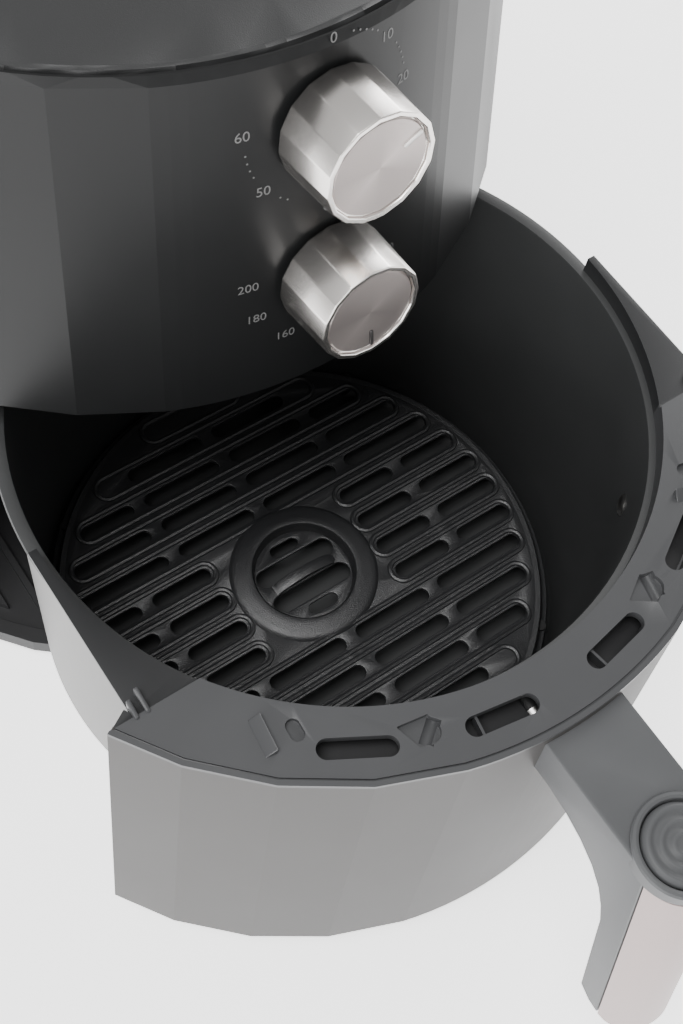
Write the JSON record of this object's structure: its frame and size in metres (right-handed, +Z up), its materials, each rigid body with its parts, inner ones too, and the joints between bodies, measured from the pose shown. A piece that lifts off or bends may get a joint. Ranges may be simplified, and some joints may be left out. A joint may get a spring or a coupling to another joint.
{
  "type": "air fryer",
  "caption": "Countertop air fryer with a faceted round body, two control knobs and a pull-out pan drawer holding a slotted grill plate.",
  "frame": {"origin": "middle of the whole footprint at the table, with the drawer pulled out", "axes": "-Y is the front where the handle is, +X is the viewer's right, +Z is up"},
  "size_m": [0.283, 0.4797, 0.2892],
  "materials": {
    "housing_plastic": "satin dark grey moulded plastic",
    "cover_plastic": "fine matt dark grey plastic",
    "panel_paint": "satin warm silver-grey paint",
    "collar_plastic": "matt mid-dark grey plastic",
    "inner_plastic": "matt black plastic",
    "knob_metal": "satin champagne anodised",
    "knob_face_metal": "spun-brushed champagne disc",
    "handle_metal": "satin champagne plate",
    "pan_coating": "satin black non-stick coating",
    "grill_coating": "fine-grained black non-stick coating",
    "steel": "plain pressed steel",
    "screw_steel": "zinc-plated",
    "element_steel": "dark oxidised tube",
    "motor_steel": "grey painted steel",
    "bronze": "sintered bronze",
    "aluminium_blade": "plain aluminium",
    "rubber": "black rubber",
    "silicone": "dark silicone rubber",
    "white_plastic": "off-white moulded plastic",
    "red_plastic": "red-brown moulded plastic",
    "pointer_light": "pale inlaid line",
    "pointer_dark": "dark inlaid line"
  },
  "bodies": {
    "housing": {"base_shell": "inner_plastic", "rubber_feet": "rubber", "base_screws": "screw_steel", "floor_tray": "inner_plastic", "lower_housing_left": "housing_plastic", "lower_housing_right": "housing_plastic", "upper_housing": "housing_plastic", "top_cover": "cover_plastic", "cover_screws": "screw_steel", "drawer_bay": "inner_plastic", "inner_deck": "inner_plastic", "deck_screws": "screw_steel", "cooking_chamber": "steel", "element_guard": "steel", "heating_element": "element_steel", "element_clips": "steel", "fan_shroud": "steel", "motor_bracket": "steel", "motor_housing": "motor_steel", "motor_bearings": "bronze", "motor_screws": "screw_steel", "timer_unit": "white_plastic", "timer_bell": "steel", "thermostat_unit": "white_plastic", "thermostat_probe": "bronze", "terminal_block": "white_plastic", "thermal_fuse": "screw_steel", "interlock_switch": "red_plastic", "rear_vent": "inner_plastic", "vent_screws": "screw_steel", "cord_gland": "rubber"},
    "fan": {"hot_air_fan": "aluminium_blade", "fan_nut": "screw_steel", "motor_shaft": "steel", "motor_rotor": "motor_steel", "cooling_fan": "inner_plastic"},
    "interlock": {"interlock_plunger": "white_plastic"},
    "timer": {"timer_knob": "knob_metal", "timer_knob_disc": "knob_face_metal", "timer_pointer": "pointer_light", "timer_spindle": "steel"},
    "temperature": {"temperature_knob": "knob_metal", "temperature_knob_disc": "knob_face_metal", "temperature_pointer": "pointer_dark", "temperature_spindle": "steel"},
    "drawer": {"pan": "pan_coating", "pan_rivets": "screw_steel", "pan_collar": "collar_plastic", "front_panel": "panel_paint", "panel_frame": "collar_plastic", "handle_shell": "collar_plastic", "handle_front_plate": "handle_metal", "handle_screws": "screw_steel", "button_spring": "steel"},
    "button": {"release_button": "collar_plastic"},
    "grill": {"grill_plate": "grill_coating", "grill_bumpers": "silicone"}
  },
  "joints": [
    {"name": "drawer_slide", "type": "slide", "parent": "housing", "child": "drawer", "axis": [0, -1, 0], "range_m": [-0.13, 0.1]},
    {"name": "grill_lift", "type": "slide", "parent": "drawer", "child": "grill", "axis": [0, 0, 1], "range_m": [0, 0.12]},
    {"name": "button_press", "type": "slide", "parent": "drawer", "child": "button", "axis": [0, 0, -1], "range_m": [0, 0.003], "stiffness_N_per_m": 300, "springref_m": -0.002, "deforming": ["button_spring"]},
    {"name": "timer_turn", "type": "hinge", "parent": "housing", "child": "timer", "pos_m": [0, -0.01915, 0.2585], "axis": [0, 0.9925, -0.1224], "range_deg": [-62, 213]},
    {"name": "temperature_turn", "type": "hinge", "parent": "housing", "child": "temperature", "pos_m": [0, -0.02538, 0.208], "axis": [0, 0.9925, -0.1224], "range_deg": [-176, 104]},
    {"name": "fan_spin", "type": "hinge", "parent": "housing", "child": "fan", "pos_m": [0, 0.0925, 0.2], "axis": [0, 0, 1], "continuous": true},
    {"name": "interlock_press", "type": "slide", "parent": "housing", "child": "interlock", "axis": [0, 0, 1], "range_m": [0, 0.0025], "stiffness_N_per_m": 200, "springref_m": -0.002}
  ]
}
